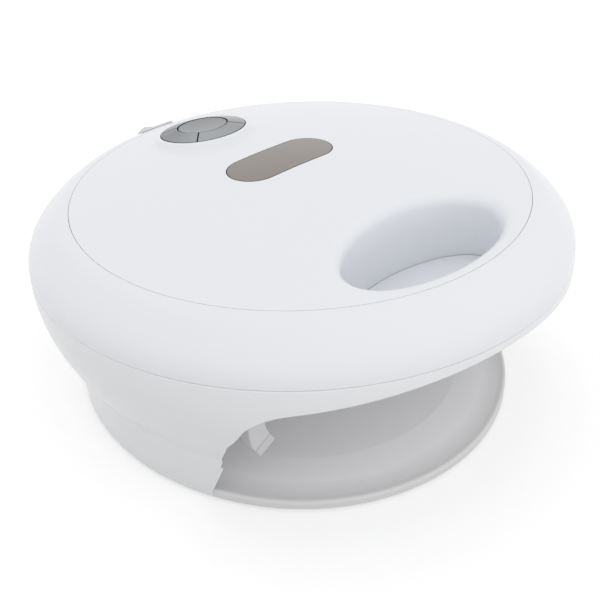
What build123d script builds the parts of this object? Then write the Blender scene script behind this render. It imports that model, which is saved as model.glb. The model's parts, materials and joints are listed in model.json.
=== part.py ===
"""Five-finger LED nail lamp. Millimetres, +Z up, the hand mouth faces -Y.

The head is a body of revolution about an axis that leans back, so its
heights are measured along that axis from the parting line at its widest
circle. The drum under it and the base plate are level.
"""
import math
import os
from build123d import *

os.makedirs("parts", exist_ok=True)

# Outside of the body
head_tilt = 5.9            # degrees, front edge of the head raised
head_r = 120.0             # widest circle, where rim cover and lower shell meet
parting_z = 72.2           # height of that circle on the body's axis
parting_y = 0.0
crown_r = head_r - 19.7    # seam between crown and rim cover
crown_h = 21.5             # seam height above the parting circle
apex_h = 32.3
bowl_low_in = 10.7         # the bowl's lower edge, inside the widest circle
bowl_low_h = -38.2
crease_r = head_r - 15.4   # soft crease between bowl and skirt
crease_y = -4.4
crease_z = 26.3
crease_tilt = 4.3
crease_round = 10.0
drum_r = head_r - 18.8     # foot of the skirt
drum_z = 1.2               # foot height under the skirt
skin = 2.4
core_r = head_r / 2        # where the profiles of the shells end inside
seam_gap = 0.2
slide_gap = 0.8            # between the lift-off plate and the body, at the foot

# Hand mouth, seen from the front in head heights
mouth_top = -3.0
mouth_arch_r = 409.0
mouth_x = drum_r - 7.3     # half width at its widest
mouth_sill_x = drum_r - 10.3
mouth_notch_x = drum_r - 11.0
mouth_corner = 13.0
ceiling_h = -9.7           # underside of the flange behind the brow
brow_r = head_r - 8.0      # where the rolled brow meets that flange
flange = 2.5
jamb_y = -35.0             # depth of the jamb returns

# Finger scoop in the crown
scoop_b = 20.0
scoop_a = 42.0             # half length at the top of its wall
scoop_y = scoop_b + 7.3 - crown_r
scoop_draft = 0.3          # the floor is this much smaller all round
scoop_wall = 2.2
scoop_floor_h = -2.2
scoop_floor_t = 1.6
scoop_lip = 5.5            # rounding at the crown

# Display window
window_y = 11.9
window_l = 54.4
window_w = 23.9
window_fit = 0.3
window_ledge = 1.8         # how far its flange reaches under the crown
window_z = 27.2            # flat underside

# Button dial
dial_y = 66.7
dial_tip = 0.861           # degrees that it leans back from the crown's own slope there
dial_lift = 2.5            # its edge above the crown
dial_r = 20.2
button_r = 11.5
dial_edge_h = 30.4         # heights from here on are counted along the dial's axis
dial_inner_h = 32.3
ring_gap = 0.7
cap_t = 1.6
collar_in = dial_r + 0.4
collar_out = dial_r + 2.2
collar_low = 20.4
collar_foot = dial_r + 5.4 # foot of the raised boss round the dial
boss_foot_h = 26.3
boss_top_h = 30.1
stem_r = 1.5
ring_stem = 16.0           # radius of the four outer stems

# Button guide and board
guide_r = dial_r + 4.4
guide_h = 15.5
guide_t = 2.0
stem_low = guide_h - 0.9
pcb_t = 1.6
switch_h = 3.8
switch_w = 6.0
button_pcb_h = guide_h - 0.1 - switch_h - pcb_t
post_circle = guide_r + 3.9

# Base plate
plate_r = drum_r - skin - slide_gap
plate_lip_z = 5.0
plate_top_z = 7.0
platform_r = plate_r - 20.5
plate_t = 2.6
lip_angle = 62.5           # half of the arc that the lip fills between the jambs
foot_r = 7.0
foot_circle = plate_r - 18.5
magnet_r = 2.2
magnet_t = 2.0
magnet_circle = plate_r - 3.1

# Chamber liner
liner_r = plate_r - 4.2
liner_ring_r = plate_r - 0.4
liner_t = 1.6
liner_z = 6.3
liner_round = 9.0

# Lugs on the bowl wall: lug, liner ear and rim post share one screw
lug_t = 3.0
lug_w = 13.0
post_r = head_r - 12.5
lug_in = post_r - 6.5
post_d = 8.0
screw_d = 3.0
screw_fit = 0.1
lug_angles = (75, 115, 160, 200, 245, 285)
ear_angles = (70, 110, 150, 210, 250, 290)
ear_r = crown_r - 9.3
ear_h = crown_h - 5.9
ear_t = 2.0

# Light engine over the chamber
led_cols = 6
led_rows = 4
led_pitch_x = 20.0
led_pitch_y = 18.0
led_y = 6.0
led_w = 4.6
lens_d = 3.8
led_board_l = 124.0
led_board_w = 80.0
sink_t = 2.0
fin_h = 7.0
fin_t = 1.2
fin_pitch = 8.0
board_h = 10.0             # underside of the control board
board_l = 116.0
board_w = 72.0

# Plug inlet at the back
inlet_z = 44.0
inlet_face = head_r - 7.0
plug_r = 2.8
plug_depth = 9.5
inlet_body_r = 5.5
inlet_nut_r = 7.5

# Rear power rocker
rocker_r = head_r - 10.4
rocker_lean = 36.5         # degrees, its face leans back with the rim
rocker_l = 13.2
rocker_w = 8.0
rocker_throw = 8.0
switch_l = 17.0
switch_d = 10.4
bezel_h = 0.5

# Thumb pods
pod_x = 74.2
pod_y = -51.8
pod_z = 31.7
pod_l = 9.4
pod_w = 18.0
pod_t = 7.0
pod_round = 0.8

ceiling_top = ceiling_h + flange
roof_top = ceiling_top + liner_t
HEAD = Plane(
    origin=(0, parting_y, parting_z), x_dir=(1, 0, 0),
    z_dir=Vector(0, 0, 1).rotate(Axis.X, -head_tilt),
)
SIDE = Plane(origin=HEAD.origin, x_dir=(1, 0, 0), z_dir=-HEAD.y_dir)
AXIS = Axis(HEAD.origin, HEAD.z_dir)
dome_r = (crown_r**2 + (apex_h - crown_h) ** 2) / (2 * (apex_h - crown_h))


def dome_at(r, drop=0.0):
    """Head height of the crown's surface at radius r, or of a parallel surface under it."""
    return apex_h - dome_r + ((dome_r - drop) ** 2 - r**2) ** 0.5


def at(x, y, h):
    """World point of head coordinates x, y, h."""
    return HEAD.from_local_coords(Vector(x, y, h))


def level(x, y, h, turn=0.0):
    """Plane square to the head's axis, at x, y, h, turned about that axis."""
    along = HEAD.x_dir.rotate(Axis((0, 0, 0), HEAD.z_dir), turn)
    return Plane(origin=at(x, y, h), x_dir=along, z_dir=HEAD.z_dir)


def ring_of(radius, angles, h):
    """Level planes round the head's axis, angles counted from the front."""
    spots = [(a, Vector(0, -radius, h).rotate(Axis.Z, a)) for a in angles]
    return [level(p.X, p.Y, p.Z, a) for a, p in spots]


dial_lean = math.degrees(math.asin(dial_y / dome_r)) + dial_tip
dial_out = HEAD.z_dir.rotate(Axis.X, -dial_lean)
dial_root = at(0, dial_y, dome_at(dial_y)) - dial_out * (dial_edge_h - dial_lift)
DIAL_AXIS = Axis(dial_root, dial_out)
DIAL_SIDE = Plane(origin=dial_root, x_dir=(1, 0, 0), z_dir=Vector(1, 0, 0).cross(dial_out))


def dial_level(h, turn=0.0):
    """Plane square to the dial's axis at a height along it, turned about that axis."""
    along = Vector(1, 0, 0).rotate(Axis((0, 0, 0), dial_out), turn)
    return Plane(origin=dial_root + dial_out * h, x_dir=along, z_dir=dial_out)


def dial_ring(radius, angles, h):
    """Planes round the dial's axis, angles counted from the front."""
    turned = [dial_level(h, a) for a in angles]
    spot = Vector(0, -radius, 0)
    return [Plane(origin=p.from_local_coords(spot), x_dir=p.x_dir, z_dir=dial_out) for p in turned]


def save(part, name):
    part.label = name
    export_step(part, "parts/" + name + ".step")


def spun(points, axis=AXIS, plane=SIDE):
    """Solid of revolution of a straight-sided profile of (radius, height) points."""
    with BuildPart() as body:
        with BuildSketch(plane):
            Polygon(*points, align=None)
        revolve(axis=axis)
    return body.part


def rods(planes, radius, length, hole=0.0):
    """Round rods standing on planes, with a hole if one is asked for."""
    with BuildPart() as body:
        for plane in planes:
            with BuildSketch(plane):
                Circle(radius)
                if hole:
                    Circle(hole, mode=Mode.SUBTRACT)
            extrude(amount=length)
    return body.part


def screws(planes, length, shank=screw_d, head_d=5.6, head_h=2.0):
    """Pan-head screws, head seated on each plane and shank pointing up through it."""
    slot_w = 0.8
    with BuildPart() as body:
        for plane in planes:
            with BuildSketch(plane):
                Circle(shank / 2 - screw_fit)
            extrude(amount=length)
            with BuildSketch(plane):
                Circle(head_d / 2)
            extrude(amount=-head_h)
            with BuildSketch(plane.offset(-head_h)):
                Rectangle(head_d * 0.6, slot_w)
                Rectangle(slot_w, head_d * 0.6)
            extrude(amount=head_h * 0.5, mode=Mode.SUBTRACT)
    return body.part


def mouth_prism(grow, y_in):
    """The mouth's outline as seen from the front, run outwards from y_in."""
    x = mouth_x + grow
    top = mouth_top + grow
    edge = top - (mouth_arch_r - (mouth_arch_r**2 - x**2) ** 0.5)
    sill = mouth_sill_x + grow
    notch = mouth_notch_x + grow
    start = Plane(origin=at(0, y_in, 0), x_dir=(1, 0, 0), z_dir=-HEAD.y_dir)
    with BuildPart() as prism:
        with BuildSketch(start) as outline:
            with BuildLine():
                Polyline((x, edge), (x, -36), (sill, -50), (sill, -53.3), (notch, -54), (notch, -95))
                Line((notch, -95), (-notch, -95))
                Polyline(
                    (-notch, -95), (-notch, -54), (-sill, -53.3), (-sill, -50), (-x, -36), (-x, edge),
                )
                ThreePointArc((-x, edge), (0, top), (x, edge))
            make_face()
            fillet(outline.vertices().sort_by(Axis.Y)[-2:], mouth_corner + grow)
        extrude(amount=140)
    return prism.part


def brow_solid(rise):
    """What stays of the brow over the mouth: a flat with a cone round it."""
    return spun([
        (0, ceiling_h + rise), (brow_r, ceiling_h + rise), (head_r + 0.5, -2.0 + rise),
        (head_r + 0.5, 3 + rise), (0, 3 + rise),
    ])


def bowl(inset, low, top):
    """Bowl and skirt as one solid, its wall moved in by inset."""
    r = head_r - inset
    low_r = r - bowl_low_in
    low_edge = level(0, 0, bowl_low_h)
    crease = Plane(
        origin=(0, crease_y, crease_z), x_dir=(1, 0, 0),
        z_dir=Vector(0, 0, 1).rotate(Axis.X, -crease_tilt),
    )
    foot = Plane.XY.offset(drum_z - inset)
    with BuildPart() as body:
        with BuildSketch(SIDE):
            with BuildLine():
                Polyline((0, top), (r - low, top), (r - low, -0.1), (r, -0.5))
                Spline(
                    (r, -0.5), (r - 2.6, bowl_low_h / 2), (low_r, bowl_low_h),
                    tangents=[(0, -1), (-0.5, -1)],
                )
                Polyline((low_r, bowl_low_h), (0, bowl_low_h), (0, top))
            make_face()
        revolve(axis=AXIS)
        for ends in (
            ((low_edge, low_r), (crease, crease_r - inset)),
            ((crease, crease_r - inset), (foot, drum_r - inset)),
        ):
            for plane, radius in ends:
                with BuildSketch(plane):
                    Circle(radius)
            loft(ruled=True)
    return body.part


def is_circle(radius):
    """Picks the edges that are circles of a radius."""
    return lambda e: e.geom_type == GeomType.CIRCLE and abs(e.radius - radius) < 0.01


def below_dome(radius, low):
    """Everything under the crown's top surface, out to a radius and down to a height."""
    with BuildPart() as body:
        with BuildSketch(SIDE):
            with BuildLine():
                Polyline((0, apex_h), (0, low), (radius, low), (radius, dome_at(radius)))
                ThreePointArc((radius, dome_at(radius)), (radius / 2, dome_at(radius / 2)), (0, apex_h))
            make_face()
        revolve(axis=AXIS)
    return body.part


def oval(a, b, low, high, a_top=None, b_top=None):
    """Upright oval column over the scoop's centre, tapered if a top size is given."""
    with BuildPart() as body:
        with BuildSketch(level(0, scoop_y, low)):
            Ellipse(a, b)
        if a_top:
            with BuildSketch(level(0, scoop_y, high)):
                Ellipse(a_top, b_top)
            loft()
        else:
            extrude(amount=high - low)
    return body.part


# Back and rocker planes
inlet_plane = Plane(origin=(0, inlet_face, inlet_z), x_dir=(1, 0, 0), z_dir=(0, 1, 0))
rocker_out = Vector(0, 0, 1).rotate(Axis.X, -rocker_lean - head_tilt)
ROCKER = Plane(origin=at(0, rocker_r, 17.0), x_dir=(1, 0, 0), z_dir=rocker_out)

# Lower shell: bowl and skirt in one moulding
tunnel = mouth_prism(flange, jamb_y) - brow_solid(flange)
with BuildPart() as tunnel_keep:
    with BuildSketch(HEAD):
        Rectangle(2 * head_r + 20, 140, align=(Align.CENTER, Align.MAX))
        Ellipse(drum_r - 19, drum_r + 3, mode=Mode.SUBTRACT)
    extrude(amount=-95)
with BuildPart() as lugs:
    for plane in ring_of(lug_in, lug_angles, ceiling_top):
        with BuildSketch(plane):
            Rectangle(lug_w, 25, align=(Align.CENTER, Align.MAX))
        extrude(amount=-lug_t)
inlet_boss = rods([inlet_plane.offset(-5)], 10.0, 12.0)
cavity = bowl(skin, 0, 5) - (tunnel & tunnel_keep.part) - lugs.part - inlet_boss
lug_screw_planes = ring_of(post_r, lug_angles, ceiling_top - lug_t)

hand_mouth = mouth_prism(0, -20) - brow_solid(0)

with BuildPart() as lower_shell:
    add(bowl(0, 0.4, 0))
    fillet(lower_shell.edges().filter_by(is_circle(crease_r)), crease_round)
    add(cavity, mode=Mode.SUBTRACT)
    add(hand_mouth, mode=Mode.SUBTRACT)
    add(rods(lug_screw_planes, screw_d / 2, 5), mode=Mode.SUBTRACT)
    add(rods([inlet_plane], inlet_nut_r + 0.2, 12), mode=Mode.SUBTRACT)
    add(rods([inlet_plane.offset(-20)], inlet_body_r + 0.15, 30), mode=Mode.SUBTRACT)
save(lower_shell.part, "lower_shell")

# Rim cover: the rolled edge between the two seams
with BuildPart() as rim_outside:
    with BuildSketch(SIDE):
        with BuildLine():
            Polyline((core_r, 0.1), (head_r - 0.4, 0.1), (head_r - 0.05, 0.5))
            Spline(
                (head_r - 0.05, 0.5), (head_r - 4.5, 11.3), (crown_r + 7.3, crown_h - 3.1),
                (crown_r, crown_h), tangents=[(0, 1), (-0.977, 0.21)],
            )
            Polyline((crown_r, crown_h), (core_r, crown_h), (core_r, 0.1))
        make_face()
    revolve(axis=AXIS)
with BuildPart() as rim_inside:
    with BuildSketch(SIDE):
        with BuildLine():
            Polyline((core_r, -4), (head_r - skin, -4), (head_r - skin, 0.5))
            Spline(
                (head_r - skin, 0.5), (head_r - 6.4, 10.2), (crown_r + 6.3, crown_h - 5.2),
                (crown_r + 2.3, ear_h - 0.4), tangents=[(0, 1), (-1, 0)],
            )
            Polyline(
                (crown_r + 2.3, ear_h - 0.4), (crown_r + 2.3, ear_h - ear_t),
                (core_r, ear_h - ear_t), (core_r, -4),
            )
        make_face()
    revolve(axis=AXIS)
rim_posts = rods(ring_of(post_r, lug_angles, roof_top), post_d / 2, 30)
ledge_in = crown_r - 3.0
rim_ears = [level(0, 0, ear_h, a) for a in ear_angles]
with BuildPart() as ledge_hole:
    with BuildSketch(level(0, 0, ear_h - ear_t)):
        Circle(ledge_in)
    extrude(amount=ear_t)
    for plane in rim_ears:
        with BuildSketch(plane):
            with Locations((0, -crown_r)):
                Rectangle(12, 13.8, align=(Align.CENTER, Align.MIN))
        extrude(amount=-ear_t, mode=Mode.SUBTRACT)
tongue_out = head_r - skin - 0.2
tongue = spun([
    (tongue_out - 1.5, -1.8), (tongue_out, -1.8), (tongue_out, 0.7), (tongue_out + 0.9, 2.0),
    (tongue_out + 0.9, 4.0), (tongue_out - 1.5, 6.0),
])
ear_screw_planes = ring_of(ear_r, ear_angles, ear_h - ear_t)
rim_hollow = rim_inside.part - rim_posts
rim_post_feet = rim_posts & rim_inside.part
with BuildPart() as rim_cover:
    add(rim_outside.part)
    add(rods([level(0, 0, ear_h)], crown_r, 20), mode=Mode.SUBTRACT)
    add(rim_hollow, mode=Mode.SUBTRACT)
    add(ledge_hole.part, mode=Mode.SUBTRACT)
    add(tongue)
    add(rim_post_feet)
    add(rods(ring_of(post_r, lug_angles, roof_top), screw_d / 2, 12), mode=Mode.SUBTRACT)
    add(rods(ear_screw_planes, screw_d / 2, 5), mode=Mode.SUBTRACT)
    with BuildSketch(ROCKER.offset(-16)):
        Rectangle(switch_l + 0.3, switch_d + 0.3)
    extrude(amount=30, mode=Mode.SUBTRACT)
save(rim_cover.part, "rim_cover")

# Crown: dome with the finger scoop, the window opening and the dial's collar
dome = below_dome(crown_r - seam_gap, ear_h)
with BuildPart() as under_dome:
    with BuildSketch(SIDE):
        with BuildLine():
            r = crown_r - seam_gap - skin
            Polyline((0, apex_h - skin), (0, ear_h), (r, ear_h), (r, dome_at(r, skin)))
            ThreePointArc((r, dome_at(r, skin)), (r / 2, dome_at(r / 2, skin)), (0, apex_h - skin))
        make_face()
    revolve(axis=AXIS)
crown_posts = rods(ring_of(ear_r, ear_angles, ear_h), 3.5, 12)
post_angles = (0, 120, 240)
guide_posts = rods(dial_ring(post_circle, post_angles, guide_h + guide_t), 3.0, 20)
display_posts = rods(
    [level(x, window_y + y, 19.6) for x in (-34, 34) for y in (-9, 9)], 2.5, 14,
)
scoop_hollow = oval(
    scoop_a - scoop_draft, scoop_b - scoop_draft, scoop_floor_h, 40, scoop_a, scoop_b,
)
wall_a = scoop_a + scoop_wall
wall_b = scoop_b + scoop_wall
scoop_walls = oval(wall_a, wall_b, scoop_floor_h, 40)
scoop_collar = oval(wall_a + 0.7, wall_b + 0.7, ear_h + 0.2, 40, wall_a + 8, wall_b + 8)
scoop_shell = (scoop_walls + scoop_collar) & below_dome(crown_r - 3.3, scoop_floor_h - 1)
crown_posts_cut = (crown_posts + guide_posts + display_posts) & below_dome(crown_r - 4.3, 5)
dial_boss = spun([
    (collar_in - 3, 25.5), (collar_foot, 25.5), (collar_foot, boss_foot_h),
    (collar_out - 0.2, boss_top_h), (collar_in - 3, boss_top_h),
], DIAL_AXIS, DIAL_SIDE)
scoop_ears = [level(x, scoop_y, scoop_floor_h) for x in (-wall_a - 2, wall_a + 2)]
with BuildPart() as crown_cover:
    add(dome)
    add(under_dome.part, mode=Mode.SUBTRACT)
    add(scoop_shell)
    add(crown_posts_cut)
    add(rods([dial_level(collar_low)], collar_out, 7))
    add(dial_boss)
    add(rods(scoop_ears, 3.2, 10))
    add(scoop_hollow, mode=Mode.SUBTRACT)
    mouth_edges = crown_cover.edges().filter_by(
        lambda e: e.length > 150 and at(0, 0, 27).Z < e.center().Z and e.center().Y < -60
        and e.bounding_box().size.X < 2 * scoop_a + 1
    )
    fillet(mouth_edges, scoop_lip)
    boss_edges = crown_cover.edges().filter_by(
        lambda e: 130 < e.length < 175 and (e.bounding_box().center() - dial_level(28).origin).length < 4
    ).sort_by(SortBy.LENGTH)
    fillet(boss_edges[-1], 3.0)
    fillet(crown_cover.edges().filter_by(is_circle(collar_out - 0.2)), 0.8)
    add(rods([dial_level(0)], collar_in, 60), mode=Mode.SUBTRACT)
    with BuildSketch(level(0, window_y, 20)):
        SlotOverall(window_l + 2 * window_fit, window_w + 2 * window_fit)
    extrude(amount=20, mode=Mode.SUBTRACT)
    add(rods(ring_of(ear_r, ear_angles, ear_h), screw_d / 2, 6), mode=Mode.SUBTRACT)
    add(rods(dial_ring(post_circle, post_angles, guide_h), 1.35, 8), mode=Mode.SUBTRACT)
    add(rods([level(x, window_y + y, 19) for x in (-34, 34) for y in (-9, 9)], 1.0, 6), mode=Mode.SUBTRACT)
    add(rods(scoop_ears, 1.1, 7), mode=Mode.SUBTRACT)
save(crown_cover.part, "crown_cover")

# Floor of the scoop, closed from below
with BuildPart() as scoop_floor:
    with BuildSketch(level(0, scoop_y, scoop_floor_h)):
        Ellipse(wall_a, wall_b)
        with Locations((-wall_a - 2, 0), (wall_a + 2, 0)):
            Circle(3.2)
    extrude(amount=-scoop_floor_t)
    add(rods([p.offset(-2) for p in scoop_ears], 1.1, 3), mode=Mode.SUBTRACT)
    add(rods([p.offset(-scoop_floor_t) for p in scoop_ears], 2.1, 1.0), mode=Mode.SUBTRACT)
save(scoop_floor.part, "scoop_floor")
save(screws([p.offset(-scoop_floor_t + 1.0) for p in scoop_ears], 6.0, 2.2, 4.0, 1.0), "scoop_screws")

# Display window: smoked lens with a ledge glued under the crown
with BuildPart() as window:
    with BuildSketch(level(0, window_y, window_z)):
        SlotOverall(window_l, window_w)
    extrude(amount=10)
    with BuildSketch(level(0, window_y, window_z)):
        SlotOverall(window_l + 2 * window_ledge, window_w + 2 * window_ledge)
    extrude(amount=1.2)
save(window.part & below_dome(60, 20), "display_window")

# Display: a digit block on its own board, screwed to the crown's posts
display_h = 18.0
with BuildPart() as display_board:
    with BuildSketch(level(0, window_y, display_h)):
        RectangleRounded(76, 24, 2)
        with Locations(*[(x, y) for x in (-34, 34) for y in (-9, 9)]):
            Circle(1.1, mode=Mode.SUBTRACT)
    extrude(amount=pcb_t)
save(display_board.part, "display_board")
display_top = display_h + pcb_t
with BuildPart() as display_module:
    with BuildSketch(level(0, window_y, display_top)):
        Rectangle(44, 17)
    extrude(amount=window_z - 0.4 - display_top)
    with BuildSketch(level(0, window_y, window_z - 0.4)):
        with GridLocations(14, 1, 3, 1):
            Rectangle(8.5, 14)
        with GridLocations(14, 6.7, 3, 2):
            Rectangle(6.1, 5.2, mode=Mode.SUBTRACT)
    extrude(amount=-0.5, mode=Mode.SUBTRACT)
save(display_module.part, "display_module")
display_screw_spots = [level(x, window_y + y, display_h) for x in (-34, 34) for y in (-9, 9)]
save(screws(display_screw_spots, 6.0, 2.0, 3.8, 1.4), "display_screws")

# Dial: four outer buttons and the middle one
stem_angles = (0, 90, 180, 270)
button_top = dial_inner_h - 0.7
inner_r = button_r + ring_gap
outer_ring = spun([
    (inner_r, dial_inner_h), (dial_r, dial_edge_h), (dial_r, 20.2), (dial_r + 1.9, 20.2),
    (dial_r + 1.9, 19.0), (dial_r - cap_t, 19.0), (dial_r - cap_t, dial_edge_h - 1.5),
    (inner_r + 1.4, dial_inner_h - 2.2), (inner_r + 1.4, 25.2), (inner_r, 25.2),
], DIAL_AXIS, DIAL_SIDE)
for turn, name in ((0, "front_button"), (90, "right_button"), (180, "rear_button"), (270, "left_button")):
    quarter = dial_level(0, turn)
    with BuildPart() as ring_button:
        with BuildSketch(quarter.offset(10)):
            Polygon(
                (0, -ring_gap / 2 * 1.414), (30, -30 - ring_gap / 2 * 1.414),
                (-30, -30 - ring_gap / 2 * 1.414), align=None,
            )
        extrude(amount=40)
        add(outer_ring, mode=Mode.INTERSECT)
        with BuildSketch(quarter.offset(stem_low)):
            with Locations((0, -ring_stem)):
                Circle(stem_r)
        extrude(amount=30.4 - stem_low)
        with BuildSketch(quarter.offset(20)):
            with Locations((0, -ring_stem - 1.5)):
                Rectangle(1.2, 3.4)
        extrude(amount=10)
    save(ring_button.part, name)

with BuildPart() as centre_button:
    with BuildSketch(DIAL_SIDE):
        with BuildLine():
            ThreePointArc((0, button_top), (button_r / 2, button_top + 0.12), (button_r, button_top + 0.5))
            Polyline(
                (button_r, button_top + 0.5), (button_r, 24.2), (button_r + 1.2, 24.2),
                (button_r + 1.2, 23.0), (button_r - 1.4, 23.0), (button_r - 1.4, button_top - cap_t),
                (0, button_top - cap_t), (0, button_top),
            )
        make_face()
    revolve(axis=DIAL_AXIS)
    with BuildSketch(dial_level(stem_low)):
        Circle(stem_r)
    extrude(amount=button_top - 1 - stem_low)
save(centre_button.part, "centre_button")

# Guide plate that the stems run in, the board under it and its switches
def ears_plate(h, t):
    """Round plate with three screw ears, h being its underside."""
    with BuildPart() as plate:
        with BuildSketch(dial_level(h)):
            Circle(guide_r)
        extrude(amount=t)
        for ear in dial_ring(post_circle, post_angles, h):
            with BuildSketch(ear):
                with Locations((0, 2)):
                    Rectangle(6.4, 8)
                Circle(3.2)
            extrude(amount=t)
    return plate.part


def stems_at(h):
    return [dial_level(h)] + dial_ring(ring_stem, stem_angles, h)


board_top = button_pcb_h + pcb_t
post_holes = rods(dial_ring(post_circle, post_angles, 5), 1.4, 14)
with BuildPart() as button_guide:
    add(ears_plate(guide_h, guide_t))
    add(rods([dial_level(guide_h)], guide_r, 4.5, guide_r - 1.6))
    add(rods(dial_ring(post_circle, post_angles, board_top), 3.0, guide_h - board_top))
    add(rods(stems_at(5), stem_r + 0.2, 30), mode=Mode.SUBTRACT)
    add(post_holes, mode=Mode.SUBTRACT)
save(button_guide.part, "button_guide")
with BuildPart() as button_board:
    add(ears_plate(button_pcb_h, pcb_t))
    add(post_holes, mode=Mode.SUBTRACT)
save(button_board.part, "button_board")
with BuildPart() as tact_switches:
    for spot in stems_at(board_top):
        with BuildSketch(spot):
            Rectangle(switch_w, switch_w)
        extrude(amount=switch_h)
    add(rods(stems_at(board_top + switch_h - 1.8), stem_r + 0.25, 4), mode=Mode.SUBTRACT)
save(tact_switches.part, "tact_switches")
save(screws(dial_ring(post_circle, post_angles, button_pcb_h), 12.0, 2.7, 4.6, 1.6), "button_screws")

# Screws of the casings
save(screws(lug_screw_planes, 14.0), "casing_screws")
save(screws(ear_screw_planes, 7.0), "crown_screws")

# Thumb pods: slanted housings that hang from the liner's roof beside each thumb
def pod(side):
    """Plane of a thumb pod, its +Z away from the thumb, for the left (-1) or right (1) side."""
    out = Vector(side * 0.54, -0.18, 0.82)
    along = Vector(side * 0.82, 0, -0.54) if side > 0 else Vector(0.82, 0, 0.54)
    return Plane(origin=(side * pod_x, pod_y, pod_z), x_dir=along, z_dir=out)


def pod_post(face, x, y):
    """Leaning post from the liner's roof down to the top of a pod's housing."""
    with BuildPart() as post:
        with BuildSketch(level(x, y, ceiling_top)):
            RectangleRounded(pod_l - 2.4, 9, 2)
        with BuildSketch(face.offset(pod_t / 2 - 1)):
            RectangleRounded(pod_l - 1, pod_w - 3, 2)
        loft()
    return post.part


def magnet_spots(z):
    return [
        Plane(origin=Vector(0, -magnet_circle, z).rotate(Axis.Z, a)) for a in (80, 150, 210, 280)
    ]


pod_screw_spots = []
for side, name in ((-1, "left"), (1, "right")):
    face = pod(side)
    post_x = side * (pod_x - 5.1)
    post_y = pod_y + 10.3
    with BuildPart() as thumb_pod:
        with BuildSketch(face.offset(-pod_t / 2)):
            RectangleRounded(pod_l, pod_w, pod_round)
        extrude(amount=pod_t)
        fillet(thumb_pod.faces().sort_by(Axis(face.origin, face.z_dir))[-1].edges(), pod_round / 2)
        with BuildSketch(face.offset(-pod_t / 2)):
            Rectangle(pod_l - 3, pod_w - 3)
        extrude(amount=pod_t - 2, mode=Mode.SUBTRACT)
        add(pod_post(face, post_x, post_y))
        add(rods([level(post_x, post_y, ceiling_top - 10)], 1.25, 12), mode=Mode.SUBTRACT)
    save(thumb_pod.part, name + "_thumb_pod")
    with BuildPart() as thumb_board:
        with BuildSketch(face.offset(pod_t / 2 - 2)):
            Rectangle(pod_l - 3.4, pod_w - 3.4)
        extrude(amount=-1.2)
    save(thumb_board.part, name + "_thumb_board")
    with BuildPart() as thumb_leds:
        with BuildSketch(face.offset(pod_t / 2 - 3.2)):
            with GridLocations(1, 8.0, 1, 2):
                Circle(lens_d / 2)
        extrude(amount=-1.4, taper=20)
    save(thumb_leds.part, name + "_thumb_leds")
    with BuildPart() as thumb_lens:
        with BuildSketch(face.offset(-pod_t / 2)):
            Rectangle(pod_l - 3.2, pod_w - 3.2)
        extrude(amount=1.2)
    save(thumb_lens.part, name + "_thumb_lens")
    pod_screw_spots.append(level(post_x, post_y, roof_top))
pod_holes = rods([p.offset(-5) for p in pod_screw_spots], 1.4, 8)
with BuildPart() as pod_screws:
    for spot in pod_screw_spots:
        with BuildSketch(spot):
            Circle(2.6)
        extrude(amount=1.6)
        with BuildSketch(spot):
            Circle(1.15)
        extrude(amount=-9)
save(pod_screws.part, "pod_screws")

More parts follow.
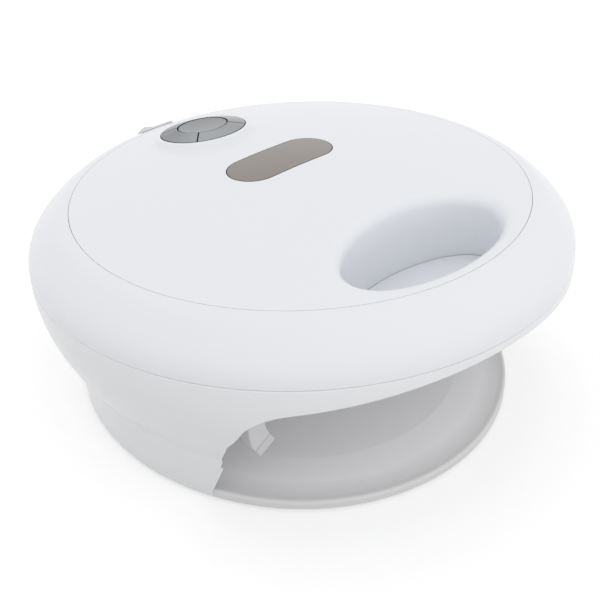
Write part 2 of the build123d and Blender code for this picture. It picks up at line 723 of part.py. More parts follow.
# Chamber liner: reflecting tub over the hand
with BuildPart() as above_roof:
    with BuildSketch(level(0, 0, roof_top)):
        Rectangle(3 * head_r, 3 * head_r)
    extrude(amount=80)
with BuildPart() as chamber_hollow:
    with BuildSketch(Plane.XY):
        Circle(liner_r - liner_t)
    extrude(amount=120)
    with BuildSketch(level(0, 0, ceiling_top)):
        Rectangle(3 * head_r, 3 * head_r)
    extrude(amount=80, mode=Mode.SUBTRACT)
    fillet(chamber_hollow.faces().sort_by(Axis.Z)[-1].edges(), liner_round)
led_spots = [
    level((i - (led_cols - 1) / 2) * led_pitch_x, led_y + (j - (led_rows - 1) / 2) * led_pitch_y, roof_top)
    for i in range(led_cols) for j in range(led_rows)
]
cheek_x = liner_r - 9.5
cheek_low = mouth_notch_x + 1.3
cheek_high = mouth_x + 1.3
roof_side = mouth_x - 12.9
with BuildPart() as chamber_liner:
    with BuildSketch(Plane.XY.offset(liner_z)):
        Circle(liner_r)
    extrude(amount=100)
    add(above_roof.part, mode=Mode.SUBTRACT)
    add(chamber_hollow.part, mode=Mode.SUBTRACT)
    # closing ring over the base plate
    with BuildSketch(Plane.XY.offset(liner_z)):
        Circle(liner_ring_r)
        Circle(liner_r - liner_t, mode=Mode.SUBTRACT)
    extrude(amount=magnet_t + 0.8)
    # open front: cheeks beside the mouth, roof carried over the brow flange
    front = Plane(origin=at(0, jamb_y + 2.2, 0), x_dir=(1, 0, 0), z_dir=-HEAD.y_dir)
    with BuildSketch(front):
        with Locations((0, -head_r)):
            Rectangle(2 * head_r + 20, 2 * head_r)
    extrude(amount=100, mode=Mode.SUBTRACT)
    with BuildSketch(front.offset(-0.1)):
        for side in (-1, 1):
            Polygon(
                (side * cheek_x, -64), (side * cheek_low, -64), (side * cheek_low, -52),
                (side * cheek_high, -38), (side * cheek_high, ceiling_top),
                (side * cheek_x, ceiling_top), align=None,
            )
    extrude(amount=1.5)
    with BuildSketch(level(0, 0, ceiling_top)):
        Circle(brow_r - 5)
        with Locations((0, jamb_y + 4)):
            Rectangle(2 * head_r, 2 * head_r, align=(Align.CENTER, Align.MIN), mode=Mode.SUBTRACT)
        with Locations((-roof_side - 15, 0), (roof_side + 15, 0)):
            Rectangle(30, head_r, mode=Mode.SUBTRACT)
        for ear in lug_angles:
            with Locations(Rotation(0, 0, ear) * Pos(0, -post_r, 0)):
                Circle(5)
                with Locations((0, 8)):
                    Rectangle(10, 16)
    extrude(amount=liner_t)
    add(rods(led_spots, led_w / 2 + 0.3, -6), mode=Mode.SUBTRACT)
    add(rods(ring_of(post_r, lug_angles, roof_top - 4), screw_d / 2, 8), mode=Mode.SUBTRACT)
    add(rods(magnet_spots(liner_z), magnet_r, magnet_t), mode=Mode.SUBTRACT)
    add(pod_holes, mode=Mode.SUBTRACT)
save(chamber_liner.part, "chamber_liner")

# Finger light engine: board, lamps, heat sink
with BuildPart() as finger_led_board:
    with BuildSketch(level(0, led_y, roof_top)):
        RectangleRounded(led_board_l, led_board_w, 10)
        with GridLocations(108, 64, 2, 2):
            Circle(1.6, mode=Mode.SUBTRACT)
    extrude(amount=pcb_t)
save(finger_led_board.part, "finger_led_board")
with BuildPart() as finger_leds:
    for spot in led_spots:
        with BuildSketch(spot):
            Circle(led_w / 2)
        extrude(amount=-0.8)
        with BuildSketch(spot.offset(-0.8)):
            Circle(lens_d / 2)
        extrude(amount=-1.2, taper=25)
save(finger_leds.part, "finger_leds")
sink_h = roof_top + pcb_t
fins = 11
with BuildPart() as heat_sink:
    with BuildSketch(level(0, led_y, sink_h)):
        Rectangle(led_board_l - 4, led_board_w - 4)
        with GridLocations(108, 64, 2, 2):
            Circle(1.6, mode=Mode.SUBTRACT)
    extrude(amount=sink_t)
    with BuildSketch(level(0, led_y, sink_h + sink_t)):
        with GridLocations(fin_pitch, 1, fins, 1):
            Rectangle(fin_t, led_board_w - 8)
    extrude(amount=fin_h)
save(heat_sink.part, "heat_sink")

# Control board on standoffs over the heat sink
standoff_h = sink_h + sink_t
with BuildPart() as board_standoffs:
    with BuildSketch(level(0, led_y, standoff_h)):
        with GridLocations(108, 64, 2, 2):
            RegularPolygon(3.0, 6)
            Circle(1.3, mode=Mode.SUBTRACT)
    extrude(amount=board_h - standoff_h)
save(board_standoffs.part, "board_standoffs")
with BuildPart() as control_board:
    with BuildSketch(level(0, led_y, board_h)):
        RectangleRounded(board_l, board_w, 3)
        with Locations((0, board_w / 2)):
            Rectangle(18, 18, mode=Mode.SUBTRACT)
        with GridLocations(108, 64, 2, 2):
            Circle(1.3, mode=Mode.SUBTRACT)
    extrude(amount=pcb_t)
save(control_board.part, "control_board")
with BuildPart() as board_parts:
    with BuildSketch(level(0, led_y, board_h + pcb_t)):
        with Locations((-38, 18), (-38, -16)):
            Circle(5)
        with Locations((38, 20)):
            Rectangle(14, 14)
        with Locations((0, -14)):
            Rectangle(12, 12)
        with Locations((24, -22), (-14, -26)):
            Rectangle(10, 6)
    extrude(amount=5)
save(board_parts.part, "board_parts")
corner_spots = [level(x, led_y + y, board_h + pcb_t) for x in (-54, 54) for y in (-32, 32)]
with BuildPart() as board_screws:
    for spot in corner_spots:
        with BuildSketch(spot):
            Circle(2.3)
        extrude(amount=1.6)
        with BuildSketch(spot):
            Circle(1.2)
        extrude(amount=-7)
save(board_screws.part, "board_screws")

# Base plate with lip, feet and holding magnets
foot_seat = 1.0
foot_spots = [
    Plane(origin=Vector(0, -foot_circle, drum_z).rotate(Axis.Z, a)) for a in (45, 135, 225, 315)
]
with BuildPart() as base_plate:
    with BuildSketch(Plane.XZ):
        Polygon(
            (0, drum_z), (plate_r, drum_z), (plate_r, plate_lip_z), (platform_r, plate_top_z),
            (0, plate_top_z), align=None,
        )
    revolve(axis=Axis.Z)
    with BuildSketch(Plane.XZ.rotated((0, 0, -90 - lip_angle))):
        with BuildLine() as lip_line:
            Polyline((plate_r - 2, drum_z), (drum_r, drum_z), (drum_r, plate_lip_z - 1.5))
            ThreePointArc(
                (drum_r, plate_lip_z - 1.5), (drum_r - 0.44, plate_lip_z - 0.44), (drum_r - 1.5, plate_lip_z),
            )
            Polyline((drum_r - 1.5, plate_lip_z), (plate_r - 2, plate_lip_z), (plate_r - 2, drum_z))
        make_face()
    revolve(axis=Axis.Z, revolution_arc=2 * lip_angle)
    with BuildSketch(Plane.XY.offset(drum_z)):
        Circle(plate_r - 8.0)
        Circle(foot_circle + foot_r + 1.5, mode=Mode.SUBTRACT)
        Circle(foot_circle - foot_r - 1.5)
        Circle(24, mode=Mode.SUBTRACT)
        with PolarLocations(0, 6, 30):
            Rectangle(1.8, 200, mode=Mode.SUBTRACT)
    extrude(amount=plate_lip_z - plate_t - 0.2, mode=Mode.SUBTRACT)
    add(rods(magnet_spots(2.6), magnet_r, 6), mode=Mode.SUBTRACT)
    add(rods(foot_spots, foot_r, foot_seat), mode=Mode.SUBTRACT)
save(base_plate.part, "base_plate")
save(rods(magnet_spots(2.6), magnet_r, plate_lip_z + 0.2 - 2.6), "plate_magnets")
save(rods(magnet_spots(liner_z), magnet_r, magnet_t), "body_magnets")
with BuildPart() as rubber_feet:
    for spot in foot_spots:
        with BuildSketch(spot.offset(-drum_z)):
            Circle(foot_r)
        extrude(amount=drum_z + foot_seat)
    fillet(rubber_feet.edges().group_by(Axis.Z)[0], 0.5)
save(rubber_feet.part, "rubber_feet")

# Plug inlet at the back: body from inside, ring nut from outside
with BuildPart() as dc_inlet:
    with BuildSketch(inlet_plane.offset(2.6)):
        Circle(inlet_body_r)
        Circle(plug_r, mode=Mode.SUBTRACT)
    extrude(amount=-plug_depth)
    with BuildSketch(inlet_plane.offset(2.6 - plug_depth)):
        Circle(inlet_body_r)
    extrude(amount=-5)
    with BuildSketch(inlet_plane.offset(-5)):
        Circle(8.0)
        Circle(inlet_body_r - 1, mode=Mode.SUBTRACT)
    extrude(amount=-1.8)
    for x in (-2.6, 2.6):
        with BuildSketch(inlet_plane.offset(-2.4 - plug_depth)):
            with Locations((x, 0)):
                Rectangle(1.6, 0.5)
        extrude(amount=-4)
save(dc_inlet.part, "dc_inlet")
with BuildPart() as inlet_nut:
    with BuildSketch(inlet_plane):
        RegularPolygon(inlet_nut_r, 6)
        Circle(inlet_body_r, mode=Mode.SUBTRACT)
    extrude(amount=1.8)
save(inlet_nut.part, "inlet_nut")

# Rear power rocker in its housing
rock_plane = Plane(origin=ROCKER.origin, x_dir=(1, 0, 0), z_dir=-ROCKER.y_dir)
with BuildPart() as switch_housing:
    with BuildSketch(ROCKER.offset(bezel_h)):
        Rectangle(switch_l, switch_d)
    extrude(amount=-10)
    with BuildSketch(ROCKER.offset(bezel_h)):
        RectangleRounded(switch_l + 1.6, switch_d + 1.6, 1.2)
    extrude(amount=-0.8)
    with BuildSketch(ROCKER.offset(bezel_h)):
        Rectangle(switch_l - 2.4, rocker_w + 0.4)
    extrude(amount=-7, mode=Mode.SUBTRACT)
    with BuildSketch(rock_plane.offset(rocker_w / 2 + 0.9)):
        with Locations((0, -1.5)):
            Circle(1.0)
    extrude(amount=-rocker_w - 1.8, mode=Mode.SUBTRACT)
    for x in (-5, 0, 5):
        with BuildSketch(ROCKER.offset(-9.4)):
            with Locations((x, 0)):
                Rectangle(0.6, 4)
        extrude(amount=-4)
save(switch_housing.part, "switch_housing")
with BuildPart() as power_rocker:
    with BuildSketch(rock_plane.offset(rocker_w / 2)):
        Polygon(
            (-rocker_l / 2, 1.3), (0, 0.4), (rocker_l / 2, 1.3), (rocker_l / 2, -1.5), (3, -4.2),
            (-3, -4.2), (-rocker_l / 2, -1.5), align=None,
        )
    extrude(amount=-rocker_w)
    with BuildSketch(rock_plane.offset(rocker_w / 2 + 0.7)):
        with Locations((0, -1.5)):
            Circle(0.8)
    extrude(amount=-rocker_w - 1.4)
pivot = Axis(ROCKER.offset(-1.5).origin, ROCKER.y_dir)
save(power_rocker.part.rotate(pivot, rocker_throw), "power_rocker")

# Flat cables between the boards
ribbon_w = 12.0
ribbon_t = 0.4


def ribbon(x, points):
    """Flat cable centred at x, its bends given as (y, height) in the head."""
    side = Plane(origin=at(x - ribbon_w / 2, 0, 0), x_dir=HEAD.y_dir, z_dir=HEAD.x_dir)
    with BuildPart() as cable:
        with BuildSketch(side):
            with BuildLine():
                FilletPolyline(*points, radius=1.2)
                offset(amount=ribbon_t / 2)
            make_face()
        extrude(amount=ribbon_w)
    return cable.part


def wires(paths, radius, bend):
    """Round insulated wires along bent paths of head points."""
    with BuildPart() as loom:
        for path in paths:
            with BuildLine() as run:
                FilletPolyline(*[at(*p) for p in path], radius=bend)
            with BuildSketch(Plane(origin=run.line @ 0, z_dir=run.line % 0)):
                Circle(radius)
            sweep(path=run.line)
    return loom.part


half = ribbon_t / 2
on_board = board_h + pcb_t + half


def under_buttons(y):
    """Head (y, height) of a cable lying against the underside of the button board."""
    spot = dial_level(button_pcb_h - half).from_local_coords(Vector(0, y, 0))
    place = HEAD.to_local_coords(spot)
    return place.Y, place.Z


save(ribbon(22, [
    (14, display_h - half), (27, display_h - half), (27, on_board), (17, on_board),
]), "display_ribbon")
save(ribbon(-15, [
    under_buttons(-4), under_buttons(-14), (led_y + board_w / 2 + 0.5, on_board), (34, on_board),
]), "button_ribbon")
wire_r = 0.7
tab_top = HEAD.to_local_coords(inlet_plane.offset(-4.4 - plug_depth).origin + Vector(0, 0, 0.33))
save(wires([
    [
        (s * 2.6, tab_top.Y, tab_top.Z), (s * 2.6, tab_top.Y, -3.4), (26 + s, 78, -3.4),
        (34 + s, 47, -3.4), (34 + s, 47, board_h - wire_r), (34 + s, 38, board_h - wire_r),
    ]
    for s in (-1, 1)
], wire_r, 2.0), "inlet_leads")
edge_x = led_board_l / 2 - 1
save(wires([
    [
        (edge_x, y, sink_h), (edge_x, y, board_h + pcb_t + wire_r),
        (edge_x - 7, y, board_h + pcb_t + wire_r),
    ]
    for y in (18, 22)
], wire_r, 1.5), "led_leads")
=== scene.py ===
"""Looks of the five-finger LED nail lamp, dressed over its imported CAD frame. Metres, +Z up."""
import json
import math

import bpy
import numpy as np
from mathutils import Matrix, Vector


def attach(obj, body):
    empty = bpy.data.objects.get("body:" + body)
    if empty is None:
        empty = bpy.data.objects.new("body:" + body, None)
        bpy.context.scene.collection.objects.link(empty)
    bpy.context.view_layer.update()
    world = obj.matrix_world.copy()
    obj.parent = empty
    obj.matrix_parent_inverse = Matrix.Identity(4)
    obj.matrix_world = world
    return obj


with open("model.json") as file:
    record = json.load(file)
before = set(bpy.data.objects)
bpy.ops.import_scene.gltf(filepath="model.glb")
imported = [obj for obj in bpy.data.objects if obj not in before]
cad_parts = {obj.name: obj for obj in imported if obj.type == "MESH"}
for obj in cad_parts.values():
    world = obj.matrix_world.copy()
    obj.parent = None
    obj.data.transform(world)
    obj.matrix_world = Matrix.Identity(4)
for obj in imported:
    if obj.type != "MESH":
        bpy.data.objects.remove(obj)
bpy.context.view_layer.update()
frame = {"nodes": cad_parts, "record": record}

# Places that the finishes and the pod stems follow. The head leans back, and its heights start at
# the parting circle
HEAD_TILT = math.radians(5.9)
PARTING_Z = 0.0722
WINDOW_Y = 0.0119          # middle of the window, in the leaning head
WINDOW_REACH = 0.01525     # half the straight part of its slot
WINDOW_ROUND = 0.01195     # radius of its ends
WINDOW_GAP_SHADE = 0.0004       # width of the dark line painted along its edge as the shade of the gap round it
SCOOP_Y = -0.0730
SCOOP_A = 0.0417           # half axes of the scoop's floor where its wall stands on it
SCOOP_B = 0.0197
SCOOP_JOINT_SHADE = 0.982        # share of those axes at which the dark joint line and its painted shade start
DIAL_Y = 0.0692            # middle of the dial, seen from above
DIAL_MIDDLE_R = 0.0118
LIP_R = 0.0978             # inner edge of the tray's lip
LIP_SHADE_BAND = 0.008           # width over which painted shade darkens the tray towards its lip
POD_MIDDLE = (0.0742, -0.0518, 0.0317)
POD_OUT = (0.54, -0.18, 0.82)              # from the thumb to the pod's back
STEM_FOOT = 0.00308                        # height of a stem's foot over the pod's middle
STEM_ELBOW = 0.016                         # from the foot to the point that the stem bends at
STEM_TOP = (0.0691, -0.0420, 0.0690)       # where a stem meets the liner's roof
STEM_FOOT_HALVES = (0.00469, 0.00899)      # half sides of its section at the foot
STEM_TOP_HALVES = (0.00365, 0.00470)
STEM_CORNER = 0.0008


# Shader maths written as Python

class Wire:
    """An output socket in a node tree. Arithmetic on it adds Math nodes."""

    def __init__(self, tree, socket):
        self.tree = tree
        self.socket = socket

    def _math(self, operation, *values):
        return self.tree.node("ShaderNodeMath", {"operation": operation}, dict(enumerate(values)))

    def __add__(self, other):
        return self._math("ADD", self, other)

    def __sub__(self, other):
        return self._math("SUBTRACT", self, other)

    def __rsub__(self, other):
        return self._math("SUBTRACT", other, self)

    def __mul__(self, other):
        return self._math("MULTIPLY", self, other)

    def __truediv__(self, other):
        return self._math("DIVIDE", self, other)

    def __rtruediv__(self, other):
        return self._math("DIVIDE", other, self)

    def __pow__(self, other):
        return self._math("POWER", self, other)

    def __rpow__(self, other):
        return self._math("POWER", other, self)

    def __gt__(self, other):
        return self._math("GREATER_THAN", self, other)

    def __lt__(self, other):
        return self._math("LESS_THAN", self, other)

    __radd__ = __add__
    __rmul__ = __mul__

    def at_least(self, other):
        """The larger of the two."""
        return self._math("MAXIMUM", self, other)

    def part(self, output):
        """Another output of the same node, by name or number."""
        return Wire(self.tree, self.socket.node.outputs[output])


class NodeTree:
    """The nodes of a finish or of the surroundings."""

    def __init__(self, tree):
        self.tree = tree

    def plug(self, socket, value):
        """Gives a socket a value or a wire."""
        if isinstance(value, Wire):
            self.tree.links.new(value.socket, socket)
        else:
            socket.default_value = value

    def node(self, kind, settings=None, inputs=None):
        """Adds a node: its settings first, then the values or wires of its sockets."""
        made = self.tree.nodes.new(kind)
        for key, value in (settings or {}).items():
            setattr(made, key, value)
        for key, value in (inputs or {}).items():
            self.plug(made.inputs[key], value)
        return Wire(self, made.outputs[0])

    def seen(self):
        """1 for what the camera sees, also in gloss and through glass, and 0 for what gives light."""
        rays = self.node("ShaderNodeLightPath")
        mirrored = rays.part("Is Camera Ray").at_least(rays.part("Is Glossy Ray"))
        return mirrored.at_least(rays.part("Is Transmission Ray"))


class Finish(NodeTree):
    """A node material with one Principled surface."""

    def __init__(self, name, **sockets):
        self.material = bpy.data.materials.new(name)
        self.material.use_nodes = True
        super().__init__(self.material.node_tree)
        self.surface = self.tree.nodes["Principled BSDF"]
        for socket, value in sockets.items():
            self.feed(socket.replace("_", " "), value)
        self.place = self.node("ShaderNodeTexCoord").part("Object")

    def feed(self, socket, value):
        """Gives a socket of the surface a value or a wire."""
        self.plug(self.surface.inputs[socket], value)

    def noise(self, scale, detail=3.0, stretch=None):
        """Noise over the object's own coordinates, finer for a larger scale."""
        place = self.place
        if stretch:
            place = self.node("ShaderNodeMapping", {}, {"Vector": place, "Scale": stretch})
        return self.node("ShaderNodeTexNoise", {}, {"Vector": place, "Scale": scale, "Detail": detail})

    def split(self, place=None):
        """X and Y of a place, the object's own if none is given."""
        parts = self.node("ShaderNodeSeparateXYZ", {}, {"Vector": place or self.place})
        return parts.part("X"), parts.part("Y")

    def mix(self, factor, first, second):
        """Colour between two colours. A colour mix takes them at sockets 6 and 7."""
        made = self.node("ShaderNodeMix", {"data_type": "RGBA"}, {0: factor, 6: first, 7: second})
        return made.part(2)

    def bump(self, height, distance, strength=1.0):
        """Bumps the surface by a height."""
        self.feed("Normal", self.node("ShaderNodeBump", {}, {
            "Height": height, "Distance": distance, "Strength": strength,
        }))

    def skin(self, slow, rough_low, rough_high, depth):
        """Gloss that follows a slow noise, and the fine texture of a moulded surface."""
        self.feed("Roughness", rough_low + slow * (rough_high - rough_low))
        self.bump(self.noise(900.0, 2.0), depth)

    def grain(self, light, dark, rough_low, rough_high, scale, depth):
        """Moulded surface: slow shifts of tone and gloss, and a fine skin."""
        slow = self.noise(scale)
        self.feed("Base Color", self.mix(slow, dark, light))
        self.skin(slow, rough_low, rough_high, depth)


def rgb(red, green, blue):
    """A colour given as it shows on a screen, 0 to 255, turned to linear light."""
    def linear(value):
        value /= 255
        return value / 12.92 if value <= 0.04045 else ((value + 0.055) / 1.055) ** 2.4
    return (linear(red), linear(green), linear(blue), 1.0)


CASING_LIGHT = rgb(235, 237, 241)
CASING_DARK = rgb(234, 236, 240)
CASING_SKIN = (0.25, 0.27)         # roughness
CASING_SPECULAR = 0.32
CASING_PATCHES = 14.0              # scale of the slow noise
CASING_DEPTH = 0.00001


def head_place(finish, y):
    """X and Y of a point seen along the head's leaning axis, counted from (0, y)."""
    return finish.split(finish.node("ShaderNodeMapping", {"vector_type": "POINT"}, {
        "Vector": finish.place,
        "Rotation": (HEAD_TILT, 0.0, 0.0),
        "Location": (0.0, PARTING_Z * math.sin(HEAD_TILT) - y, -PARTING_Z * math.cos(HEAD_TILT)),
    }))


def casing(name, light, dark):
    """Satin white moulding of the head."""
    finish = Finish(name, Specular_IOR_Level=CASING_SPECULAR)
    finish.grain(light, dark, *CASING_SKIN, CASING_PATCHES, CASING_DEPTH)
    return finish


def scoop(name):
    """The casing's white, with a dark line where the scoop's floor meets its wall: a joint line
    together with painted shade in that corner.
    """
    finish = Finish(name, Specular_IOR_Level=CASING_SPECULAR)
    slow = finish.noise(CASING_PATCHES)
    x, y = head_place(finish, SCOOP_Y)
    ring = ((x / SCOOP_A) ** 2.0 + (y / SCOOP_B) ** 2.0) ** 0.5
    plain = finish.mix(slow, CASING_DARK, CASING_LIGHT)
    # joint line and painted shade: a dark grey band along the floor's edge where it meets the wall
    finish.feed("Base Color", finish.mix((ring > SCOOP_JOINT_SHADE) * 0.6, plain, rgb(120, 121, 124)))
    finish.skin(slow, *CASING_SKIN, CASING_DEPTH)
    return finish


def tray(name):
    """Satin white where the hand rests, darkened by painted shade towards the lip that closes the
    mouth's foot.
    """
    finish = Finish(name)
    slow = finish.noise(22.0)
    x, y = finish.split()
    lip = finish.node("ShaderNodeMapRange", {}, {
        "Value": (x * x + y * y) ** 0.5, "From Min": LIP_R - LIP_SHADE_BAND, "From Max": LIP_R,
    })
    satin = finish.mix(slow, rgb(243, 243, 245), rgb(246, 246, 247))
    # painted shade: the tray's colour darkens to a grey over the band inside its lip
    finish.feed("Base Color", finish.mix(lip, satin, rgb(222, 222, 223)))
    finish.skin(slow, 0.46, 0.56, 0.00004)
    return finish


def liner(name):
    """Bright reflecting white of the chamber."""
    finish = Finish(name)
    finish.grain(rgb(254, 254, 254), rgb(252, 252, 252), 0.38, 0.48, 18.0, 0.00003)
    return finish


def smoked_lens(name):
    """Smoked acrylic with a dark line along its edge, the painted shade of the gap round the window.
    """
    finish = Finish(name, Coat_Weight=0.6, Coat_Roughness=0.04)
    slow = finish.noise(30.0)
    x, y = head_place(finish, WINDOW_Y)
    side = finish.node("ShaderNodeMath", {"operation": "ABSOLUTE"}, {0: x}) - WINDOW_REACH
    beyond = side.at_least(0.0)
    reach = (beyond * beyond + y * y) ** 0.5
    plain = finish.mix(slow, rgb(116, 106, 96), rgb(122, 112, 102))
    # painted shade: a dark line along the window's rounded edge, where the gap round it lies
    gap_shade = reach > WINDOW_ROUND - WINDOW_GAP_SHADE
    finish.feed("Base Color", finish.mix(gap_shade, plain, rgb(52, 49, 46)))
    finish.feed("Roughness", 0.1 + slow * 0.06)
    finish.bump(slow, 0.000004)
    return finish


def spun_silver(name):
    """Spun silver caps: a painted reflection swings the ring's tone round the dial's axis, and fine
    rings follow its radius.
    """
    finish = Finish(name, Metallic=0.85)
    x, y = finish.split()
    y = y - DIAL_Y
    angle = finish.node("ShaderNodeMath", {"operation": "ARCTAN2"}, {0: y, 1: x})
    reflection_once = finish.node("ShaderNodeMath", {"operation": "SINE"}, {0: angle + 2.32})
    reflection_twice = finish.node("ShaderNodeMath", {"operation": "SINE"}, {0: angle * 2.0 - 0.07})
    radius = (x * x + y * y) ** 0.5
    rings = finish.node("ShaderNodeTexNoise", {"noise_dimensions": "1D"}, {
        "W": radius * 9000.0, "Scale": 1.0, "Detail": 2.0,
    })
    outer = radius > DIAL_MIDDLE_R
    # painted reflection: the outer ring's tone rises and falls with the angle round the dial's axis;
    # the middle cap is toned darker
    reflection_swing = (reflection_once * 0.25 + reflection_twice * 0.3) * outer - (1.0 - outer) * 0.25
    tone = 0.5 + reflection_swing + (rings - 0.5) * 0.3
    finish.feed("Base Color", finish.mix(tone, rgb(126, 129, 132), rgb(172, 175, 177)))
    finish.feed("Roughness", 0.26 + rings * 0.12)
    finish.bump(rings, 0.000006, 0.5)
    return finish


def metal(name, light, dark, rough):
    """Plain metal with fine strokes, drawn out along X and Y."""
    finish = Finish(name, Metallic=1.0)
    strokes = finish.noise(120.0, 3.0, (1.0, 1.0, 30.0))
    finish.feed("Base Color", finish.mix(strokes, rgb(*dark), rgb(*light)))
    finish.feed("Roughness", rough + strokes * 0.15)
    finish.bump(strokes, 0.00002, 0.4)
    return finish


def moulded(name, light, dark, rough, scale=40.0):
    """Plain moulded plastic, rubber or lacquered board."""
    finish = Finish(name)
    finish.grain(rgb(*light), rgb(*dark), rough, rough + 0.12, scale, 0.00003)
    return finish


def clear(name, colour, alpha, rough):
    """Clear or milky plastic."""
    finish = Finish(name, Coat_Weight=0.5, Coat_Roughness=0.05)
    slow = finish.noise(60.0)
    finish.feed("Base Color", finish.mix(slow, rgb(*colour), rgb(240, 240, 244)))
    finish.feed("Roughness", rough + slow * 0.05)
    finish.feed("Alpha", alpha + slow * 0.1)
    return finish


# Each finish with its maker and what it takes
FINISHES = {
    "casing_white": (casing, CASING_LIGHT, CASING_DARK),
    # painted shade tone: a neutral copy of the casing white for the lower shell, matched to the colour
    # of its shaded side
    "bowl_white": (casing, rgb(237, 238, 240), rgb(236, 237, 239)),
    "scoop_white": (scoop,),
    "tray_white": (tray,),
    "liner_white": (liner,),
    "pod_white": (moulded, (216, 216, 218), (211, 211, 213), 0.40),
    "smoked_lens": (smoked_lens,),
    "brushed_silver": (spun_silver,),
    "foot_rubber": (moulded, (64, 64, 66), (50, 50, 52), 0.66),
    "magnet_nickel": (metal, (206, 206, 206), (190, 190, 192), 0.16),
    "lens_clear": (clear, (228, 232, 238), 0.35, 0.05),
    "led_epoxy": (clear, (224, 214, 236), 0.7, 0.08),
    "led_board_white": (moulded, (232, 233, 231), (224, 226, 224), 0.34),
    "board_green": (moulded, (38, 118, 72), (28, 98, 58), 0.30, 90.0),
    "sink_aluminium": (metal, (206, 207, 209), (188, 190, 192), 0.34),
    "standoff_brass": (metal, (214, 184, 116), (196, 164, 96), 0.26),
    "screw_steel": (metal, (186, 187, 190), (164, 165, 168), 0.28),
    "display_black": (moulded, (34, 34, 36), (24, 24, 26), 0.30),
    "switch_black": (moulded, (42, 42, 44), (32, 32, 34), 0.40),
    "guide_grey": (moulded, (160, 162, 165), (150, 152, 155), 0.44),
    "inlet_black": (moulded, (36, 36, 38), (26, 26, 28), 0.32),
    "nut_steel": (metal, (196, 196, 198), (176, 176, 180), 0.24),
    "rocker_white": (moulded, (228, 229, 231), (222, 223, 226), 0.28),
    "ribbon_grey": (moulded, (182, 184, 186), (170, 172, 175), 0.42),
    "lead_black": (moulded, (40, 40, 42), (30, 30, 32), 0.48),
    "part_black": (moulded, (44, 44, 46), (34, 34, 36), 0.42),
}
# Nodes whose finish differs a little from that of their slot
OWN_FINISHES = {
    # painted shade tone: the lower shell takes the neutral copy of the casing white
    "lower_shell": "bowl_white",
    "scoop_floor": "scoop_white",
    "left_thumb_pod": "pod_white",
    "right_thumb_pod": "pod_white",
}

materials = {name: maker(name, *values).material for name, (maker, *values) in FINISHES.items()}
for row in frame["record"]["subparts"]:
    mesh = frame["nodes"][row["node"]].data
    mesh.materials.clear()
    mesh.materials.append(materials[OWN_FINISHES.get(row["node"], row["material_slot"])])


def mesh_object(name, points, faces):
    """Object in the scene, with its place in its mesh."""
    mesh = bpy.data.meshes.new(name)
    mesh.from_pydata(points, [], faces)
    placed = bpy.data.objects.new(name, mesh)
    bpy.context.scene.collection.objects.link(placed)
    return placed


def pod_stem(side, name):
    """Stem of a thumb pod, as wide as the pod at its foot and narrowing to the liner's roof.

    Its middle runs on a quadratic Bezier curve, which leaves the pod square to its back and bends
    over to the roof. Its section is a rectangle with corners of one radius r: each coordinate is
    (half side - r) with the sign of its own direction, plus r times that direction's cosine or
    sine. The half sides and the section's two directions change with the square of the rise, from
    the pod's own to those of the leaning head. Side is -1 for the left pod and 1 for the right.
    """
    mirror = np.array([side, 1.0, 1.0])
    out = np.array(POD_OUT) * mirror
    along = np.array([out[2], 0.0, -out[0]])
    out /= np.linalg.norm(out)
    along /= np.linalg.norm(along)
    across = np.cross(out, along)
    foot = np.array(POD_MIDDLE) * mirror + out * STEM_FOOT
    elbow = foot + out * STEM_ELBOW
    top = np.array(STEM_TOP) * mirror

    count, levels = 32, 17
    turn = (np.arange(count)[None, :, None] + 0.5) / count * 2 * math.pi
    rise = np.linspace(0.0, 1.0, levels)[:, None, None]
    bend = rise * rise

    def bent(first, last):
        return first + bend * (last - first)

    half_wide = bent(STEM_FOOT_HALVES[0], STEM_TOP_HALVES[0])
    half_deep = bent(STEM_FOOT_HALVES[1], STEM_TOP_HALVES[1])
    wide = np.sign(np.cos(turn)) * (half_wide - STEM_CORNER) + STEM_CORNER * np.cos(turn)
    deep = np.sign(np.sin(turn)) * (half_deep - STEM_CORNER) + STEM_CORNER * np.sin(turn)
    towards_x = bent(along, np.array([1.0, 0.0, 0.0]))
    towards_y = bent(across, np.array([0.0, math.cos(HEAD_TILT), -math.sin(HEAD_TILT)]))
    middle = (1 - rise) ** 2 * foot + 2 * rise * (1 - rise) * elbow + bend * top
    points = middle + wide * towards_x + deep * towards_y

    grid = np.arange(levels * count).reshape(levels, count)
    beside = np.roll(grid, -1, axis=1)
    walls = np.stack([grid[:-1], beside[:-1], beside[1:], grid[1:]], axis=-1).reshape(-1, 4)
    ends = [grid[0][::-1].tolist(), grid[-1].tolist()]
    stem = mesh_object(name, points.reshape(-1, 3), walls.tolist() + ends)
    stem.data.polygons.foreach_set("use_smooth", [True] * len(walls) + [False, False])
    stem.data.materials.append(materials["pod_white"])
    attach(stem, "head")


pod_stem(-1, "left_pod_stem")
pod_stem(1, "right_pod_stem")


# Studio: pale floor, white surroundings, soft lamps, and the photograph's camera

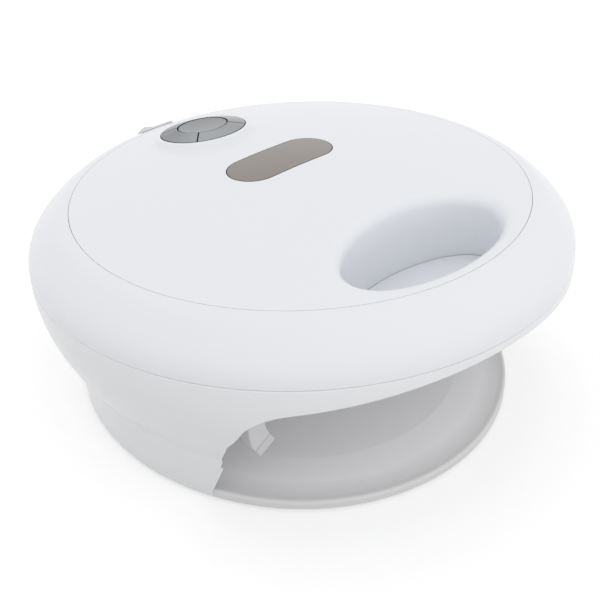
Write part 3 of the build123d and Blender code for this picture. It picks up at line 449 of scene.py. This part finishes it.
def studio_floor(glow):
    """Flat square at table height, far wider than the view, with a glow that lights nothing."""
    reach = 6.0
    corners = [(-reach, -reach, 0), (reach, -reach, 0), (reach, reach, 0), (-reach, reach, 0)]
    floor = mesh_object("studio_floor", corners, [(0, 1, 2, 3)])
    finish = Finish("studio_paper", Roughness=0.9)
    paper = finish.mix(finish.noise(3.0), (0.60, 0.60, 0.60, 1), (0.62, 0.62, 0.62, 1))
    finish.feed("Base Color", paper)
    shine = finish.node("ShaderNodeEmission", {}, {
        "Color": (1, 1, 1, 1), "Strength": finish.seen() * glow,
    })
    both = finish.node("ShaderNodeAddShader", {}, {
        0: Wire(finish, finish.surface.outputs[0]), 1: shine,
    })
    finish.plug(finish.tree.nodes["Material Output"].inputs["Surface"], both)
    floor.data.materials.append(finish.material)


def surroundings(level):
    """White for the camera, mirrors and glass, and a plain level for everything it lights."""
    world = bpy.data.worlds.new("surroundings")
    bpy.context.scene.world = world
    world.use_nodes = True
    sky = NodeTree(world.node_tree)
    background = sky.tree.nodes["Background"]
    sky.plug(background.inputs["Color"], (1, 1, 1, 1))
    sky.plug(background.inputs["Strength"], level + sky.seen() * (1.0 - level))


def soft_lamp(name, place, aim, size, watts):
    """Square area lamp that faces a point. Gloss mirrors the surroundings in its place."""
    data = bpy.data.lights.new(name, "AREA")
    data.shape = "SQUARE"
    data.size = size
    data.energy = watts
    lamp = bpy.data.objects.new(name, data)
    bpy.context.scene.collection.objects.link(lamp)
    lamp.visible_glossy = False
    lamp.location = place
    lamp.rotation_euler = (Vector(aim) - Vector(place)).to_track_quat("-Z", "Y").to_euler()


def photo_camera(place, forward, right):
    """Camera at the photograph's place, with the way that it looks and the picture's own right."""
    data = bpy.data.cameras.new("photo_camera")
    data.sensor_width = 36.0
    data.lens = 63.84
    camera = bpy.data.objects.new("photo_camera", data)
    bpy.context.scene.collection.objects.link(camera)
    forward = Vector(forward).normalized()
    right = Vector(right)
    right = (right - right.dot(forward) * forward).normalized()
    turn = Matrix((right, right.cross(forward), -forward)).transposed().to_4x4()
    camera.matrix_world = Matrix.Translation(place) @ turn
    bpy.context.scene.camera = camera


studio_floor(0.48)
surroundings(0.92)
soft_lamp("overhead_softbox", (-0.35, 0.15, 1.3), (0, 0, 0.08), 1.0, 0.8)
soft_lamp("mouth_softbox", (0.1, -0.95, 0.10), (0, 0, 0.03), 0.5, 1.2)
photo_camera((-0.27999, -0.29025, 0.33039), (0.5604, 0.5785, -0.5927), (0.7352, -0.6770, 0.0344))
bpy.context.scene.view_settings.view_transform = "Standard"
